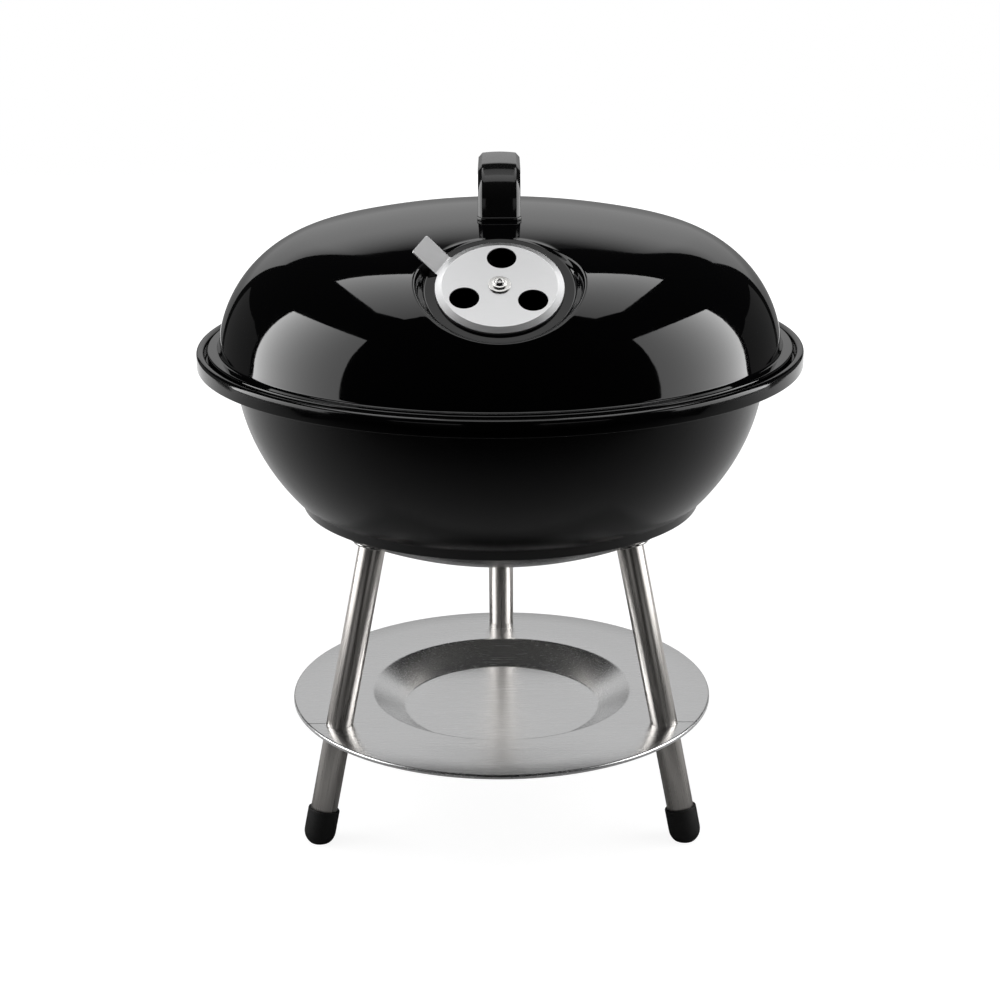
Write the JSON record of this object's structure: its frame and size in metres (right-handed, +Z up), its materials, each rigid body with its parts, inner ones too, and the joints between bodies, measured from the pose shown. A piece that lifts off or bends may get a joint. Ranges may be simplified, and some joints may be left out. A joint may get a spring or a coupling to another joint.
{
  "type": "kettle charcoal grill",
  "caption": "Small three-legged kettle charcoal grill with a domed lid, a lid damper, a bowl with grates and bottom damper, and an ash tray on its legs.",
  "frame": {"origin": "on the floor, under the middle of the bowl", "axes": "+Z up through the bowl and lid; -Y is the front, where the lid's damper is; +X to the right seen from the front"},
  "size_m": [0.3559, 0.356, 0.4025],
  "materials": {
    "lid_enamel": "gloss black enamel",
    "bowl_enamel": "semi-gloss black enamel",
    "handle_plastic": "moulded black, semi-gloss",
    "damper_steel": "satin stainless",
    "leg_steel": "drawn stainless tube",
    "tray_steel": "brushed stainless sheet",
    "foot_rubber": "matte black",
    "grate_chrome": "plated wire",
    "bracket_steel": "plain sheet",
    "fastener_steel": "bright zinc"
  },
  "bodies": {
    "root": {"bowl_shell": "bowl_enamel", "grate_supports": "bracket_steel", "bottom_damper_bolt": "fastener_steel", "bottom_damper_spring": "fastener_steel", "bottom_damper_nut": "fastener_steel", "leg_front_left": "leg_steel", "leg_front_right": "leg_steel", "leg_back": "leg_steel", "leg_washers": "fastener_steel", "leg_inserts": "fastener_steel", "leg_bolts": "fastener_steel", "leg_bolt_washers": "fastener_steel", "foot_front_left": "foot_rubber", "foot_front_right": "foot_rubber", "foot_back": "foot_rubber", "ash_tray": "tray_steel"},
    "lid": {"lid_shell": "lid_enamel", "lid_handle": "handle_plastic", "handle_screws": "fastener_steel", "handle_washers": "fastener_steel", "lid_damper_bolt": "fastener_steel", "lid_damper_spring": "fastener_steel", "lid_damper_nut": "fastener_steel"},
    "lid_damper": {"lid_damper": "damper_steel"},
    "bottom_damper": {"bottom_damper": "damper_steel"},
    "cooking_grate": {"cooking_grate_ring": "grate_chrome", "cooking_grate_rods": "grate_chrome"},
    "charcoal_grate": {"charcoal_grate_ring": "grate_chrome", "charcoal_grate_rods": "grate_chrome"}
  },
  "joints": [
    {"name": "lid_lift", "type": "slide", "parent": "root", "child": "lid", "axis": [0, 0, 1], "range_m": [0, 0.2]},
    {"name": "lid_damper_turn", "type": "hinge", "parent": "lid", "child": "lid_damper", "pos_m": [0, -0.1125, 0.34881], "axis": [0, -0.5299, 0.848], "range_deg": [-120, 0]},
    {"name": "bottom_damper_turn", "type": "hinge", "parent": "root", "child": "bottom_damper", "pos_m": [0, 0, 0.166], "axis": [0, 0, 1], "range_deg": [0, 60]},
    {"name": "cooking_grate_lift", "type": "slide", "parent": "root", "child": "cooking_grate", "axis": [0, 0, 1], "range_m": [0, 0.04]},
    {"name": "charcoal_grate_lift", "type": "slide", "parent": "root", "child": "charcoal_grate", "axis": [0, 0, 1], "range_m": [0, 0.045]}
  ]
}
